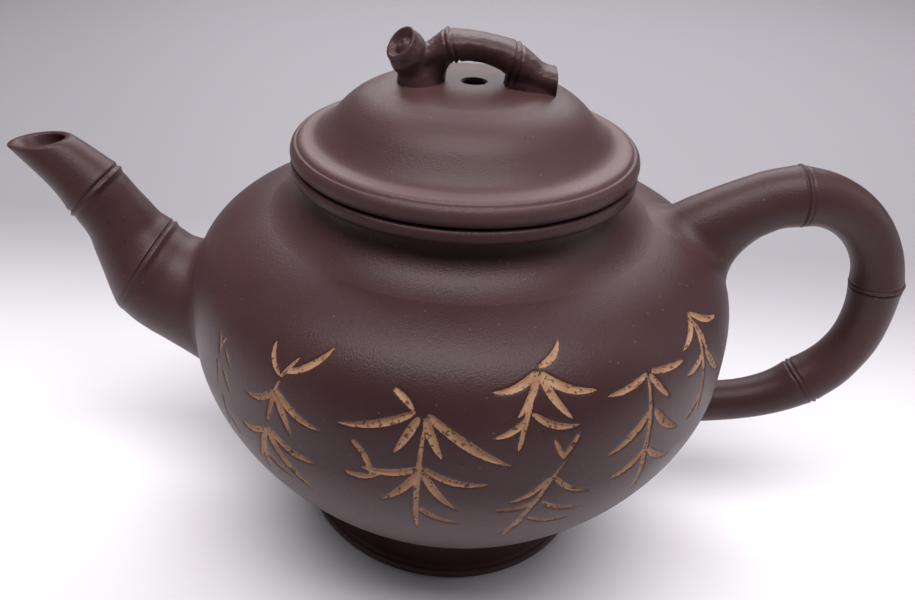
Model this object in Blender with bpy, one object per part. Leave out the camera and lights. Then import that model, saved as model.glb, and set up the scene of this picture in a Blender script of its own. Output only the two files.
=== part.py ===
"""Clay teapot with a bamboo spout, handle and knob.

The pot stands on its foot ring at Z = 0 with the spout towards -X and the handle towards +X.
A pot like this is built from slabs, rings and rolled lengths of clay luted together with slip,
so each of those is its own solid here, with a hairline joint between neighbours.
Lengths are metres; the named sizes are written in millimetres and scaled once.
"""
import math

import bmesh
import bpy
from mathutils import Vector

MM = 0.001

# ---- overall sizes, millimetres -------------------------------------------------------------
JOINT = 0.3               # gap left between pieces that are luted or rest on each other
TURNS = 48                # steps round every turned piece

BELLY_R = 54.0            # widest radius of the belly
BELLY_Z = 47.3            # height of the widest point
BELLY_DROP = 50.0         # depth of the lower curve below the widest point
BELLY_LOW_POWER = 1.65    # fullness of the lower curve
BELLY_RISE = 26.5         # height of the shoulder curve above the widest point
BELLY_TOP_POWER = 3.8     # fullness of the shoulder, which turns over almost flat
WALL = 2.8                # clay thickness of the belly
BASE_Z = 8.3              # underside of the base disc, inside the foot
BASE_T = 3.0              # thickness of the base disc

FOOT_R = 32.0             # outer radius where the foot stands
FOOT_IN_R = 26.0          # inner radius where the foot stands
FOOT_BEAD = 1.9           # height of the small band round the bottom of the foot
FOOT_NECK_R = 27.2        # radius of the foot's cove under the belly

MOUTH_R = 26.6            # bore of the neck and of the mouth ring
NECK_R = 30.4             # outside of the neck under the mouth ring
NECK_FOOT_R = 36.5        # where the neck's cove runs out on the shoulder
NECK_TOP_Z = 79.3
RING_R = 33.0             # outside of the rolled mouth ring
RING_H = 2.8

LID_R = 33.0              # outside of the lid's rolled edge, level with the mouth ring
LID_EDGE_H = 3.6          # height of that edge
LID_BAND_R = 28.5         # where the flat band stops and the dome starts
LID_RISE = 10.1           # dome height above the band
LID_POWER = 2.75          # fullness of the dome
LID_T = 3.0               # clay thickness of the dome
TONGUE_GAP = 0.45         # running clearance of the lid's tongue in the mouth
TONGUE_T = 2.2
TONGUE_DEPTH = 7.0
VENT_R = 2.15             # steam hole
VENT_X = 1.5

SPOUT_BORE_TIP = 0.74     # bore over outside radius at the tip
SPOUT_BORE_ROOT = 0.80    # the same where the spout leaves the belly
STRAINER_R = 1.6          # each strainer hole in the belly wall
STRAINER_PITCH = 5.6
LIFT_CLEAR = 0.3

# centre line of the spout as x, z, outside radius, and which of them is a bamboo node
SPOUT_LINE = [(-87.4, 81.5, 5.2, 0), (-82.4, 76.5, 5.7, 0), (-78.4, 72.4, 6.4, 0),
              (-76.2, 69.8, 6.9, 1), (-73.4, 65.4, 7.0, 0), (-70.8, 60.6, 7.8, 0),
              (-68.0, 55.3, 9.0, 0), (-65.4, 50.8, 10.3, 1), (-61.2, 47.6, 11.7, 0),
              (-56.6, 45.8, 12.9, 0), (-51.6, 44.0, 14.2, 0), (-44.5, 41.0, 16.2, 0)]
SPOUT_CUT_TILT = 15.0     # degrees the pouring lip is off level

# centre line of the handle from its upper root round to its lower root
HANDLE_LINE = [(43.0, 64.5, 8.4, 0), (47.3, 68.8, 7.3, 0), (51.5, 71.8, 6.4, 0),
               (55.6, 74.4, 5.9, 0), (59.6, 76.4, 5.8, 0), (63.6, 77.5, 5.8, 1),
               (68.2, 77.1, 5.3, 0), (72.6, 75.4, 4.9, 0), (76.5, 72.5, 4.6, 0),
               (79.6, 68.7, 4.5, 0), (81.8, 64.2, 4.5, 0), (83.1, 59.0, 4.6, 1),
               (83.5, 52.6, 4.4, 0), (82.9, 46.9, 4.4, 0), (81.0, 41.7, 4.5, 0),
               (77.9, 37.1, 4.8, 0), (72.6, 32.3, 4.9, 1), (68.9, 30.2, 4.6, 0),
               (63.3, 28.2, 4.4, 0), (57.0, 27.0, 4.5, 0), (50.4, 26.3, 4.9, 0),
               (43.5, 26.0, 5.5, 0)]
NODE_RIDGE = 0.35         # how far a bamboo node stands proud
NODE_HALF = 1.1           # half the length of that ridge along the line

# knob: a cut stump and a branch that bridges from it to the far side
STUMP_R = 4.2
STUMP_X = -8.6
STUMP_TOP = (-12.2, -1.2, 104.2)
BRANCH_LINE = [(-8.6, 101.6, 2.5, 0), (-5.6, 103.0, 2.55, 0), (-3.0, 103.6, 2.7, 1),
               (1.6, 103.5, 2.65, 0), (5.6, 102.6, 2.65, 0), (8.8, 101.2, 2.8, 1),
               (11.6, 99.2, 2.6, 0), (14.0, 97.8, 2.6, 0), (19.0, 96.4, 2.6, 0)]
BRANCH_WIDE = 1.55        # width of the branch across over its height
BRANCH_FOOT = (11.4, 4.8, 6.2)   # centre x and half sizes of the branch's foot
BRANCH_END_X = 16.2       # flat sawn end of the branch

RING_TOP_Z = NECK_TOP_Z + JOINT + RING_H
LID_Z = RING_TOP_Z + JOINT
BAND_Z = LID_Z + LID_EDGE_H + 0.6

CLAY = (0.070, 0.040, 0.041, 1.0)


# ---- small tools ----------------------------------------------------------------------------
def clay(name, colour=CLAY):
    mat = bpy.data.materials.get(name) or bpy.data.materials.new(name)
    mat.use_nodes = True
    shader = mat.node_tree.nodes["Principled BSDF"]
    shader.inputs["Base Color"].default_value = colour
    shader.inputs["Roughness"].default_value = 0.48
    return mat


def piece(name, bm, slot="purple_clay"):
    """Close, orient and place one named solid in the scene."""
    bmesh.ops.recalc_face_normals(bm, faces=bm.faces)
    if bm.calc_volume(signed=True) < 0:
        bmesh.ops.reverse_faces(bm, faces=bm.faces)
    mesh = bpy.data.meshes.new(name)
    bm.to_mesh(mesh)
    bm.free()
    mesh.materials.append(clay(slot))
    obj = bpy.data.objects.new(name, mesh)
    bpy.context.scene.collection.objects.link(obj)
    return obj


def cutter(name, bm):
    obj = piece(name, bm)
    obj.hide_render = True
    obj.display_type = "WIRE"
    return obj


def boolean(obj, other, operation="DIFFERENCE"):
    """Apply one exact Boolean to a solid and leave a plain mesh behind."""
    mod = obj.modifiers.new(operation.title(), "BOOLEAN")
    mod.operation = operation
    mod.solver = "EXACT"
    mod.object = other
    graph = bpy.context.evaluated_depsgraph_get()
    mesh = bpy.data.meshes.new_from_object(obj.evaluated_get(graph))
    obj.modifiers.clear()
    old = obj.data
    obj.data = mesh
    bpy.data.meshes.remove(old)


def discard(*objs):
    for obj in objs:
        bpy.data.objects.remove(obj, do_unlink=True)


def lathe(profile, turns=TURNS):
    """Turn a closed (radius, z) outline round the Z axis; a radius of 0 makes a pole."""
    bm = bmesh.new()
    rings = []
    for radius, z in profile:
        if radius < 1e-6:
            rings.append([bm.verts.new((0.0, 0.0, z * MM))])
            continue
        ring = []
        for k in range(turns):
            angle = 2.0 * math.pi * k / turns
            ring.append(bm.verts.new((radius * MM * math.cos(angle), radius * MM * math.sin(angle),
                                      z * MM)))
        rings.append(ring)
    for lower, upper in zip(rings, rings[1:] + rings[:1]):
        if len(lower) == 1 and len(upper) == 1:
            continue
        for k in range(turns):
            nxt = (k + 1) % turns
            if len(lower) == 1:
                bm.faces.new((lower[0], upper[nxt], upper[k]))
            elif len(upper) == 1:
                bm.faces.new((lower[k], lower[nxt], upper[0]))
            else:
                bm.faces.new((lower[k], lower[nxt], upper[nxt], upper[k]))
    return bm


def loft(loops):
    """Skin a row of equal loops of points (millimetres) and close both ends."""
    bm = bmesh.new()
    rows = [[bm.verts.new(Vector(p) * MM) for p in loop] for loop in loops]
    count = len(rows[0])
    for a, b in zip(rows, rows[1:]):
        for k in range(count):
            nxt = (k + 1) % count
            bm.faces.new((a[k], a[nxt], b[nxt], b[k]))
    bm.faces.new(list(reversed(rows[0])))
    bm.faces.new(rows[-1])
    return bm


def bent_line(points, ridge=NODE_RIDGE, half=NODE_HALF):
    """Add a raised ridge at each bamboo node of an x, z, radius line."""
    line = []
    for k, (x, z, radius, node) in enumerate(points):
        if not node:
            line.append((x, z, radius))
            continue
        before, after = points[k - 1], points[k + 1]
        dx, dz = after[0] - before[0], after[1] - before[1]
        size = math.hypot(dx, dz)
        dx, dz = dx / size, dz / size
        for step, lift in ((-1.0, 0.0), (-0.35, ridge), (0.35, ridge), (1.0, 0.0)):
            line.append((x + dx * half * step, z + dz * half * step, radius + lift))
    return line


def tube_loops(line, sides, shrink=None, wide=1.0, cut_tilt=None, inset=0.0):
    """Rings of a round rod along an x, z, radius line that lies in the Y = 0 plane."""
    loops = []
    for k, (x, z, radius) in enumerate(line):
        a = line[max(k - 1, 0)]
        b = line[min(k + 1, len(line) - 1)]
        along = Vector((b[0] - a[0], 0.0, b[1] - a[1])).normalized()
        across = Vector((-along.z, 0.0, along.x))
        share = k / (len(line) - 1)
        r = radius * (shrink[0] + (shrink[1] - shrink[0]) * share) if shrink else radius
        normal = along
        if cut_tilt is not None and k == 0:
            tilt = math.radians(cut_tilt)
            normal = Vector((-math.sin(tilt), 0.0, math.cos(tilt)))
        loop = []
        for i in range(sides):
            angle = 2.0 * math.pi * i / sides
            off = Vector((0.0, r * wide * math.cos(angle), 0.0)) + across * (r * math.sin(angle))
            slide = -off.dot(normal) / along.dot(normal)
            loop.append(Vector((x, 0.0, z)) + off + along * (slide + (inset if k == 0 else 0.0)))
        loops.append(loop)
    return loops


def belly_radius(z, inside=0.0):
    """Radius of the belly's outer curve at a height, or of its inner curve at wall depth."""
    if z < BELLY_Z:
        share, power = (BELLY_Z - z) / (BELLY_DROP - inside), BELLY_LOW_POWER
    else:
        share, power = (z - BELLY_Z) / (BELLY_RISE - inside), BELLY_TOP_POWER
    return (BELLY_R - inside) * max(0.0, 1.0 - share ** power) ** (1.0 / power)


def belly_top(radius, inside=0.0):
    """Height of the shoulder at a radius."""
    share = radius / (BELLY_R - inside)
    return BELLY_Z + (BELLY_RISE - inside) * (1.0 - share ** BELLY_TOP_POWER) ** (1.0 / BELLY_TOP_POWER)


def belly_curve(low_z, inside, steps=8, mouth=None):
    """Outer or inner curve of the belly from its truncated base up to the mouth."""
    points = []
    for k in range(steps):
        turn = 0.5 * math.pi * k / steps
        z = low_z + (BELLY_Z - low_z) * math.sin(turn)
        points.append((belly_radius(z, inside), z))
    corner = (BELLY_R - inside) * 0.86
    for k in range(steps // 2):
        z = BELLY_Z + (belly_top(corner, inside) - BELLY_Z) * k / (steps // 2)
        points.append((belly_radius(z, inside), z))
    end = mouth if mouth is not None else 0.0
    for k in range(steps // 2 + 1):
        radius = corner + (end - corner) * k / (steps // 2)
        points.append((radius, belly_top(radius, inside)))
    return points


def dome_z(radius, lower=0.0):
    share = radius / (LID_BAND_R - lower)
    return BAND_Z + (LID_RISE - lower) * (1.0 - share ** LID_POWER) ** (1.0 / 1.45)


def belly_block(gap):
    """Solid of the whole belly swollen by a gap, to trim what is luted on to it."""
    curve = belly_curve(BASE_Z, -gap, steps=16)
    return cutter("belly_trim", lathe([(0.0, BASE_Z)] + curve, turns=96))


def dome_block(gap):
    """Solid of the whole lid swollen by a gap, to trim the knob."""
    count = 16
    curve = [(LID_BAND_R * k / count, dome_z(LID_BAND_R * k / count) + gap) for k in range(count, -1, -1)]
    return cutter("dome_trim", lathe([(0.0, LID_Z - 1.0), (LID_BAND_R, LID_Z - 1.0)] + curve))


# ---- clear the default scene ----------------------------------------------------------------
for old in list(bpy.data.objects):
    bpy.data.objects.remove(old, do_unlink=True)

# ---- belly wall: paddled round, with the strainer holes behind the spout --------------------
outer = belly_curve(BASE_Z, 0.0, mouth=MOUTH_R)
inner = belly_curve(BASE_Z, WALL, mouth=MOUTH_R)
belly = piece("belly_wall", lathe(outer + list(reversed(inner))))
root_z = SPOUT_LINE[-3][1]
holes = [(0.0, root_z)] + [(STRAINER_PITCH * math.cos(math.radians(60 * k)),
                            root_z + STRAINER_PITCH * math.sin(math.radians(60 * k)))
                           for k in range(6)]
for y, z in holes:
    loops = []
    for x in (-BELLY_R - 4.0, -BELLY_R + WALL + 6.0):
        loops.append([Vector((x, y + STRAINER_R * math.cos(math.radians(45 * i)),
                              z + STRAINER_R * math.sin(math.radians(45 * i)))) for i in range(8)])
    hole = cutter("strainer_cut", loft(loops))
    boolean(belly, hole)
    discard(hole)

# ---- base disc: closes the belly inside the foot --------------------------------------------
low, high = BASE_Z, BASE_Z + BASE_T
(wall_r, wall_z), (next_r, next_z) = inner[:2]      # the disc's edge runs along the wall's own face
flare = (next_r - wall_r) / (next_z - wall_z)
base_r = wall_r - (JOINT + 0.1) * math.hypot(1.0, flare)
piece("base_disc", lathe([(0.0, low), (base_r, low), (base_r + flare * BASE_T, high), (0.0, high)]))

# ---- foot ring: flares out from a cove to a small band --------------------------------------
top = BASE_Z - JOINT
cove = []
for k in range(6):
    turn = 0.5 * math.pi * k / 5
    cove.append((FOOT_R - 0.7 - (FOOT_R - 0.7 - FOOT_NECK_R) * math.sin(turn),
                 FOOT_BEAD + 0.3 + (top - 0.6 - FOOT_BEAD - 0.3) * (1.0 - math.cos(turn))))
piece("foot_ring", lathe([(FOOT_IN_R, 0.0), (FOOT_R - 0.5, 0.0), (FOOT_R, 0.5), (FOOT_R, FOOT_BEAD - 0.3)]
                         + cove + [(FOOT_NECK_R, top), (FOOT_IN_R - 2.4, top)]))

# ---- neck: a coved collar on the shoulder ---------------------------------------------------
seat = [(MOUTH_R + (NECK_FOOT_R - MOUTH_R) * k / 3.0) for k in range(4)]
under = [(radius, belly_top(radius) + JOINT) for radius in seat]
cove = []
start_z = under[-1][1] + 0.35
for k in range(7):
    turn = 0.5 * math.pi * k / 6
    cove.append((NECK_FOOT_R - (NECK_FOOT_R - NECK_R) * math.sin(turn),
                 start_z + (NECK_TOP_Z - start_z) * (1.0 - math.cos(turn))))
piece("neck_collar", lathe(under + cove + [(MOUTH_R, NECK_TOP_Z)]))

# ---- mouth ring: the rolled lip that the lid sits on ----------------------------------------
half = RING_H / 2.0
roll = [(RING_R - half + half * math.cos(math.radians(a)),
         NECK_TOP_Z + JOINT + half + half * math.sin(math.radians(a))) for a in range(-90, 91, 30)]
piece("mouth_ring", lathe([(MOUTH_R, NECK_TOP_Z + JOINT)] + roll + [(MOUTH_R, RING_TOP_Z)]))

# ---- spout: a hollow bamboo length with two nodes, mitred on to the belly -------------------
line = bent_line(SPOUT_LINE)
shell = tube_loops(line, 20, cut_tilt=SPOUT_CUT_TILT)
bore = tube_loops(line, 20, shrink=(SPOUT_BORE_TIP, SPOUT_BORE_ROOT), cut_tilt=SPOUT_CUT_TILT)
bore[0] = [p + Vector((0.0, 0.0, 2.0)) for p in bore[0]]
bore[-1] = [p + Vector((3.0, 0.0, -1.2)) for p in bore[-1]]
spout = piece("spout", loft(shell))
hollow = cutter("spout_bore", loft(bore))
boolean(spout, hollow)
trim = belly_block(JOINT)
boolean(spout, trim)

# ---- handle: one bamboo loop with three nodes -----------------------------------------------
handle = piece("handle", loft(tube_loops(bent_line(HANDLE_LINE), 16)))
boolean(handle, trim)
discard(hollow, trim)

# ---- lid: a domed disc with a rolled edge and a flat band, and a steam hole -----------------
half = LID_EDGE_H / 2.0
edge = [(LID_R - half + half * math.cos(math.radians(a)),
         LID_Z + half + half * math.sin(math.radians(a))) for a in range(-90, 76, 33)]
steps = 9
dome = [(LID_BAND_R * math.cos(0.5 * math.pi * k / steps),
         dome_z(LID_BAND_R * math.cos(0.5 * math.pi * k / steps))) for k in range(steps + 1)]
dome[-1] = (0.0, dome_z(0.0))
tongue_r = MOUTH_R - TONGUE_GAP
hollow_r = tongue_r - TONGUE_T - 0.2
vault = [(hollow_r * math.sin(0.5 * math.pi * k / 6), LID_Z + 1.4
          + (dome_z(0.0) - LID_T - LID_Z - 1.4) * math.cos(0.5 * math.pi * k / 6) ** 0.72)
         for k in range(7)]
vault[0] = (0.0, vault[0][1])
vault[-1] = (hollow_r, LID_Z + 1.4)
lid = piece("lid_dome", lathe([(hollow_r, LID_Z)] + edge + [(LID_BAND_R + 2.2, BAND_Z - 0.25)] + dome
                              + vault))
vent = []
for z in (LID_Z, dome_z(0.0) + 6.0):
    vent.append([Vector((VENT_X + VENT_R * math.cos(math.radians(22.5 * i)),
                         VENT_R * math.sin(math.radians(22.5 * i)), z)) for i in range(16)])
vent = cutter("steam_cut", loft(vent))
boolean(lid, vent)
discard(vent)

# ---- lid tongue: the ring that keeps the lid in the mouth -----------------------------------
piece("lid_tongue", lathe([(tongue_r - TONGUE_T, LID_Z - JOINT - TONGUE_DEPTH),
                           (tongue_r - 0.5, LID_Z - JOINT - TONGUE_DEPTH),
                           (tongue_r, LID_Z - JOINT - TONGUE_DEPTH + 0.5),
                           (tongue_r, LID_Z - JOINT), (tongue_r - TONGUE_T, LID_Z - JOINT)]))

# ---- knob: a cut stump, and a branch bridging from it ---------------------------------------
def ellipse(cx, cy, z, rx, ry, tilt=(0.0, 0.0), count=20):
    """A level ring, or one sheared by tilt so that its height rises along x and y."""
    ring = []
    for k in range(count):
        angle = 2.0 * math.pi * k / count
        px, py = rx * math.cos(angle), ry * math.sin(angle)
        ring.append(Vector((cx + px, cy + py, z + px * tilt[0] + py * tilt[1])))
    return ring


top_x, top_y, top_z = STUMP_TOP
stump_loops = [ellipse(STUMP_X, 0.0, dome_z(0.0) - 3.0, STUMP_R + 1.4, STUMP_R + 2.4),
               ellipse(STUMP_X, 0.0, dome_z(0.0) - 0.4, STUMP_R + 0.8, STUMP_R + 1.6),
               ellipse(STUMP_X - 0.1, 0.0, dome_z(0.0) + 1.6, STUMP_R, STUMP_R + 0.5),
               ellipse(STUMP_X - 0.8, 0.0, dome_z(0.0) + 3.6, STUMP_R - 0.3, STUMP_R, (0.1, 0.1)),
               ellipse((STUMP_X + top_x) / 2 - 0.2, top_y / 2, top_z - 1.8, STUMP_R - 0.4, STUMP_R - 0.2,
                       (0.35, 0.25)),
               ellipse(top_x + 0.2, top_y, top_z + 0.2, STUMP_R - 0.9, STUMP_R - 0.6, (0.55, 0.45))]
stump = piece("knob_stump", loft(stump_loops))
wide_stump = cutter("stump_trim", loft([[c + (p - c) * (1.0 + JOINT / STUMP_R) for p in loop]
                                        for loop in stump_loops
                                        for c in [sum(loop, Vector()) / len(loop)]]))
branch = piece("knob_branch", loft(tube_loops(bent_line(BRANCH_LINE, 0.3, 0.9), 16, wide=BRANCH_WIDE)))
foot_x, foot_half, foot_wide = BRANCH_FOOT
foot = cutter("branch_foot", loft([
    ellipse(foot_x, 0.0, dome_z(0.0) - 3.0, foot_half + 0.4, foot_wide),
    ellipse(foot_x, 0.0, dome_z(0.0) - 0.2, foot_half, foot_wide - 1.0),
    ellipse(foot_x - 0.2, 0.0, dome_z(0.0) + 1.4, foot_half - 0.4, foot_wide - 2.0),
    ellipse(foot_x - 0.8, 0.0, dome_z(0.0) + 3.2, foot_half - 1.7, foot_wide - 2.6)]))
boolean(branch, foot, "UNION")
end = cutter("branch_end", loft([[Vector((x, y, z)) for y, z in ((-20, 80), (20, 80), (20, 120), (-20, 120))]
                                 for x in (BRANCH_END_X, BRANCH_END_X + 20.0)]))
boolean(branch, end)
boolean(branch, wide_stump)
roof = dome_block(JOINT)
boolean(branch, roof)
boolean(stump, roof)
discard(foot, end, wide_stump, roof)

# ---- stand the frame's origin under the middle of the overall length -------------------------
solids = [obj for obj in bpy.context.scene.objects if obj.type == "MESH"]
reach = [vert.co.x for obj in solids for vert in obj.data.vertices]
middle = 0.5 * (min(reach) + max(reach))
for obj in solids:
    for vert in obj.data.vertices:
        vert.co.x -= middle
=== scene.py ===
"""A small round teapot of unglazed purple clay, its spout, handle and knob modelled as bamboo.

Sizes are millimetres, turned to metres as each mesh is made. The pot's turning axis stands at
AXIS_X; the spout points to -X, the handle to +X and the carved side to -Y.
"""
import math

import bmesh
import bpy
import numpy as np
from mathutils import Matrix, Vector, noise


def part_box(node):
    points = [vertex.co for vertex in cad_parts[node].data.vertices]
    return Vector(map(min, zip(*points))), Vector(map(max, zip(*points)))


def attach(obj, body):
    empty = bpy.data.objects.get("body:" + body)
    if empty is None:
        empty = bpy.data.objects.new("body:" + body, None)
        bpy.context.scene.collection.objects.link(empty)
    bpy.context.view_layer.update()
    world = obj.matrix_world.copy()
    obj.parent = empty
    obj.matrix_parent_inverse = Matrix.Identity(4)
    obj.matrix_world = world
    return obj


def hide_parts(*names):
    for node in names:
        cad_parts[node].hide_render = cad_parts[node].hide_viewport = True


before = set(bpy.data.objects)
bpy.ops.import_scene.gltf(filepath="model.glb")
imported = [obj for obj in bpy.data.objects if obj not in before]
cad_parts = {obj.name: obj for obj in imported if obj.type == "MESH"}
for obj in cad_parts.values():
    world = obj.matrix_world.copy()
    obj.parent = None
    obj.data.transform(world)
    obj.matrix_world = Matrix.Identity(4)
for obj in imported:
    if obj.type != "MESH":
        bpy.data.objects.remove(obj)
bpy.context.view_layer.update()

# ---- table, lamps and camera ----------------------------------------------------------------
# A pale seamless sweep of paper with painted shade, darker away from the middle, under one wide overhead
# softbox and one from behind, with weak panels left and right. Nothing here belongs to the pot.
MM = 0.001
belly_low, belly_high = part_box("belly_wall")
AXIS_X = (belly_low.x + belly_high.x) / 2 / MM
LAMP_HEIGHT = 900.0
CAMERA_PLACE = (AXIS_X, -138.8, 137.7)
CAMERA_TURN = 6.47          # degrees the view swings towards the spout
CAMERA_DROP = 28.97         # degrees it looks down
CAMERA_ROLL = 0.56
CAMERA_LENS = 29.9
CAMERA_SHIFT = (0.085, -0.057)


class Signal:
    """A shader socket that can be written in sums, so 1 - grain * 0.3 makes its Math nodes."""

    def __init__(self, socket):
        self.socket = socket

    def add(self, kind, settings=None, values=None, out=0):
        """Add any node: its settings first, then the values or links of its sockets."""
        tree = self.socket.id_data
        node = tree.nodes.new(kind)
        for key, value in (settings or {}).items():
            setattr(node, key, value)
        for key, value in (values or {}).items():
            if isinstance(value, Signal):
                tree.links.new(value.socket, node.inputs[key])
            else:
                node.inputs[key].default_value = value
        return Signal(node.outputs[out])

    def sum(self, operation, a, b):
        return self.add("ShaderNodeMath", {"operation": operation}, {0: a, 1: b})

    def __add__(self, other):
        return self.sum("ADD", self, other)

    def __radd__(self, other):
        return self.sum("ADD", other, self)

    def __sub__(self, other):
        return self.sum("SUBTRACT", self, other)

    def __rsub__(self, other):
        return self.sum("SUBTRACT", other, self)

    def __mul__(self, other):
        return self.sum("MULTIPLY", self, other)

    def __rmul__(self, other):
        return self.sum("MULTIPLY", other, self)

    def rise(self, low, high):
        """0 below low, 1 above high, smooth between."""
        return self.add("ShaderNodeMapRange", {"interpolation_type": "SMOOTHSTEP"},
                        {"Value": self, "From Min": low, "From Max": high})

    def tint(self, other, share):
        """This colour mixed towards another by a share."""
        return self.add("ShaderNodeMix", {"data_type": "RGBA"}, {0: share, 6: self, 7: other}, out=2)


def new_object(name, data):
    """A new object in the scene."""
    obj = bpy.data.objects.new(name, data)
    bpy.context.scene.collection.objects.link(obj)
    return obj


def new_material(name):
    """An empty material: its Principled node and a Signal on its object coordinates, in metres."""
    material = bpy.data.materials.new(name)
    material.use_nodes = True
    shader = material.node_tree.nodes["Principled BSDF"]
    coords = material.node_tree.nodes.new("ShaderNodeTexCoord")
    return material, shader, Signal(coords.outputs["Object"])


def feed(shader, name, signal):
    shader.id_data.links.new(signal.socket, shader.inputs[name])


SWEEP_FRONT, SWEEP_BACK, SWEEP_TOP, SWEEP_BEND = -2500.0, 600.0, 1500.0, 350.0
SWEEP_COLUMNS = (-2200.0, -700.0, 700.0, 2200.0)
bend = [(SWEEP_BACK + SWEEP_BEND * math.sin(t), SWEEP_BEND - SWEEP_BEND * math.cos(t))
        for t in np.linspace(0, math.pi / 2, 14)]
profile = ([(SWEEP_FRONT, 0.0), (-300.0, 0.0), (0.0, 0.0), (300.0, 0.0)] + bend
           + [(SWEEP_BACK + SWEEP_BEND, SWEEP_TOP)])
mesh = bpy.data.meshes.new("paper_sweep")
mesh.from_pydata([(x * MM, y * MM, z * MM) for y, z in profile for x in SWEEP_COLUMNS], [],
                 [(4 * k + i, 4 * k + i + 1, 4 * k + i + 5, 4 * k + i + 4)
                  for k in range(len(profile) - 1) for i in range(3)])
mesh.shade_smooth()
paper = new_object("paper_sweep", mesh)
material, shader, place = new_material("paper_with_painted_shade")
mottle = place.add("ShaderNodeTexNoise", values={"Vector": place, "Scale": 9.0, "Detail": 3.0})
depth = place.add("ShaderNodeSeparateXYZ", values={0: place}, out=1)
# The two darker paper colours are painted shade: the paper darkens behind the pot as the lamps' light falls
# off, and in front of it, out of view, to darken its reflection in the belly.
PAPER_WHITE, PAPER_BACK_SHADE, PAPER_FRONT_SHADE = ((0.88, 0.862, 0.89, 1.0), (0.33, 0.32, 0.34, 1.0),
                                        (0.24, 0.23, 0.25, 1.0))
white = place.add("ShaderNodeRGB")
white.socket.default_value = PAPER_WHITE
# Painted shade on the paper: darker towards the back, and darker again in front of the pot.
shade = white.tint(PAPER_BACK_SHADE, depth.rise(-0.01, 0.13))
feed(shader, "Base Color", shade.tint(PAPER_FRONT_SHADE, 1 - depth.rise(-0.24, -0.05)))
feed(shader, "Roughness", 0.55 + mottle * 0.1)
mesh.materials.append(material)


def lamp(name, place, aim, size, watts, colour):
    """A softbox aimed at a point; its own size is in metres."""
    light = bpy.data.lights.new(name, "AREA")
    light.shape = "RECTANGLE"
    light.size, light.size_y = size
    light.energy, light.color = watts, colour
    obj = new_object(name, light)
    obj.location = Vector(place) * MM
    obj.rotation_euler = (Vector(aim) * MM - obj.location).to_track_quat("-Z", "Y").to_euler()


lamp("overhead_softbox", (AXIS_X, -215.0, LAMP_HEIGHT), (AXIS_X, -100.0, 50.0), (1.0, 0.42), 9.4,
     (1.0, 0.965, 0.99))
lamp("back_softbox", (AXIS_X + 50.0, 640.0, 600.0), (AXIS_X, 0.0, 60.0), (0.92, 0.66), 6.0, (1.0, 0.97, 1.0))
lamp("left_panel", (-900.0, -100.0, 420.0), (AXIS_X, 0.0, 50.0), (0.5, 0.8), 0.15, (0.97, 0.98, 1.0))
lamp("right_panel", (900.0, 100.0, 420.0), (AXIS_X, 0.0, 50.0), (0.5, 0.8), 1.1, (0.97, 0.98, 1.0))

world = bpy.data.worlds.new("studio")
world.use_nodes = True
world.node_tree.nodes["Background"].inputs["Color"].default_value = (0.80, 0.79, 0.86, 1.0)
world.node_tree.nodes["Background"].inputs["Strength"].default_value = 0.10
bpy.context.scene.world = world
bpy.context.scene.view_settings.view_transform = "Standard"

camera_data = bpy.data.cameras.new("view")
camera_data.lens, camera_data.sensor_width = CAMERA_LENS, 36.0
camera_data.shift_x, camera_data.shift_y = CAMERA_SHIFT
camera_data.clip_start = 0.01
camera = new_object("view", camera_data)
camera.matrix_world = (Matrix.Translation(Vector(CAMERA_PLACE) * MM)
                       @ Matrix.Rotation(math.radians(CAMERA_TURN), 4, "Z")
                       @ Matrix.Rotation(math.radians(90.0 - CAMERA_DROP), 4, "X")
                       @ Matrix.Rotation(math.radians(CAMERA_ROLL), 4, "Z"))
bpy.context.scene.camera = camera

# ---- belly wall -----------------------------------------------------------------------------
# The body, beaten round from a slab of purple clay and burnished with a horn tool, then carved
# with bamboo sprigs while leather hard; the cuts are filled with a tan slip. Unglazed. Seven
# small holes behind the spout hold back the leaves.
BELLY_R, BELLY_Z = 54.0, 47.3
BELLY_DROP, BELLY_LOW_POWER = 50.0, 1.65
BELLY_RISE, BELLY_TOP_POWER = 26.5, 3.8
WALL = 2.8
BASE_Z = 8.3
MOUTH_R = 26.6
STRAINER_R, STRAINER_PITCH, STRAINER_Z = 1.6, 5.6, 45.8
CARVE_DEPTH, CARVE_SLOPE = 0.38, 0.45     # how deep a stroke is, and how far in from its edge
SKIN_DEPTH = 0.13           # of the finest texture of the skin
CARVED_FROM, CARVED_TO = -60.0, 72.0      # degrees round the belly from the front
GRID = 0.36                 # spacing of the fine mesh under the carving
PLAIN_GRID = 1.4            # spacing elsewhere on the outside
FINE_ABOVE_Z, FINE_BEYOND_R = 30.0, 38.0  # the fine mesh covers the side and the shoulder only
TAN_SLIP = (0.50, 0.285, 0.165, 1.0)
BROWN_SLIP = (0.33, 0.165, 0.085, 1.0)
CLAY = (0.057, 0.0248, 0.0254, 1.0)
CLAY_PALE = (0.090, 0.0455, 0.045, 1.0)
CLAY_DEEP = (0.043, 0.0185, 0.019, 1.0)
# The colour of the painted highlight on the lid's flare band.
CLAY_HIGHLIGHT = (0.150, 0.088, 0.085, 1.0)
PALE_FLECK = (0.17, 0.12, 0.105, 1.0)
IRON_SPOT = (0.012, 0.007, 0.007, 1.0)


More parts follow.
